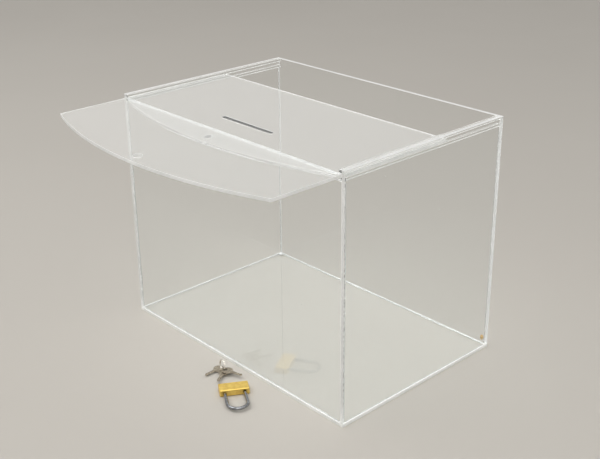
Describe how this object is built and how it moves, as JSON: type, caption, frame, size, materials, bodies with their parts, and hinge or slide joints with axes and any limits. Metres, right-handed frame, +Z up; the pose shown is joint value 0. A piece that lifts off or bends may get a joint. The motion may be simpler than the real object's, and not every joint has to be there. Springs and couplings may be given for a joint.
{
  "type": "donation box",
  "caption": "Clear box with a sliding bow-fronted lid that has a slot for coins and notes, a lock shelf, and a small open padlock with keys beside it.",
  "frame": {"origin": "centre of the underside of the base plate", "axes": "+Z up, -Y towards the front where the lid slides out, +X to the right seen from the front"},
  "size_m": [0.3, 0.299, 0.235],
  "materials": {
    "clear_acrylic": "clear polished faces with pale sawn edges",
    "lid_acrylic": "clear polished faces with pale laser-cut edges",
    "brass": "satin machined brass",
    "brass_stampings": "plain stamped brass",
    "chromed_steel": "bright chrome on steel",
    "steel": "plain spring steel",
    "nickel_plate": "nickel plate, lightly scratched"
  },
  "bodies": {
    "case": {"base_plate": "clear_acrylic", "front_wall": "clear_acrylic", "back_wall": "clear_acrylic", "left_wall": "clear_acrylic", "right_wall": "clear_acrylic", "lock_shelf": "clear_acrylic", "left_lower_rail": "clear_acrylic", "right_lower_rail": "clear_acrylic", "left_upper_rail": "clear_acrylic", "right_upper_rail": "clear_acrylic"},
    "lid": {"lid": "lid_acrylic"},
    "padlock": {"padlock_body": "brass", "shackle_stop_pin": "steel", "plug_pin": "steel", "latch_spring": "steel"},
    "shackle_seat": {"shackle_spring": "steel"},
    "shackle": {"shackle": "chromed_steel"},
    "plug": {"lock_plug": "brass", "wafers": "brass_stampings"},
    "latch": {"latch": "brass_stampings"},
    "key_ring": {"key_ring": "nickel_plate"},
    "key_1": {"key_1": "nickel_plate"},
    "key_2": {"key_2": "nickel_plate"},
    "key_3": {"key_3": "nickel_plate"}
  },
  "joints": [
    {"name": "lid_slide", "type": "slide", "parent": "case", "child": "lid", "axis": [0, -1, 0], "range_m": [-0.073, 0.077]},
    {"name": "padlock_lift", "type": "slide", "parent": "case", "child": "padlock", "axis": [0, 0, 1], "range_m": [0, 0.1]},
    {"name": "shackle_slide", "type": "slide", "parent": "padlock", "child": "shackle_seat", "axis": [0.8545, -0.5195, 0], "range_m": [-0.0052, 0], "stiffness_N_per_m": 100, "springref_m": 0.002, "deforming": ["shackle_spring"]},
    {"name": "shackle_swing", "type": "hinge", "parent": "shackle_seat", "child": "shackle", "pos_m": [0.05158, -0.12664, 0.00325], "axis": [-0.8545, 0.5195, 0], "range_deg": [0, 180]},
    {"name": "plug_turn", "type": "hinge", "parent": "padlock", "child": "plug", "pos_m": [0.03569, -0.12775, 0.00325], "axis": [0.8545, -0.5195, 0], "range_deg": [0, 90]},
    {"name": "latch_slide", "type": "slide", "parent": "padlock", "child": "latch", "axis": [-0.5195, -0.8545, 0], "range_m": [0, 0.0012]},
    {"name": "keys_lift", "type": "slide", "parent": "case", "child": "key_ring", "axis": [0, 0, 1], "range_m": [0, 0.1]},
    {"name": "key_1_swing", "type": "hinge", "parent": "key_ring", "child": "key_1", "pos_m": [0.00254, -0.1148, 0.0017], "axis": [0, 0, 1], "range_deg": [-60, 4]},
    {"name": "key_2_swing", "type": "hinge", "parent": "key_ring", "child": "key_2", "pos_m": [0.01036, -0.11661, 0.0027], "axis": [0, 0, 1], "range_deg": [-50, 50]},
    {"name": "key_3_swing", "type": "hinge", "parent": "key_ring", "child": "key_3", "pos_m": [0.01091, -0.11673, 0.0037], "axis": [0, 0, 1], "range_deg": [-60, 28]}
  ],
  "couplings": [
    {"joint": "plug_turn", "follows": "latch_slide", "rad_per_m": 1309}
  ]
}
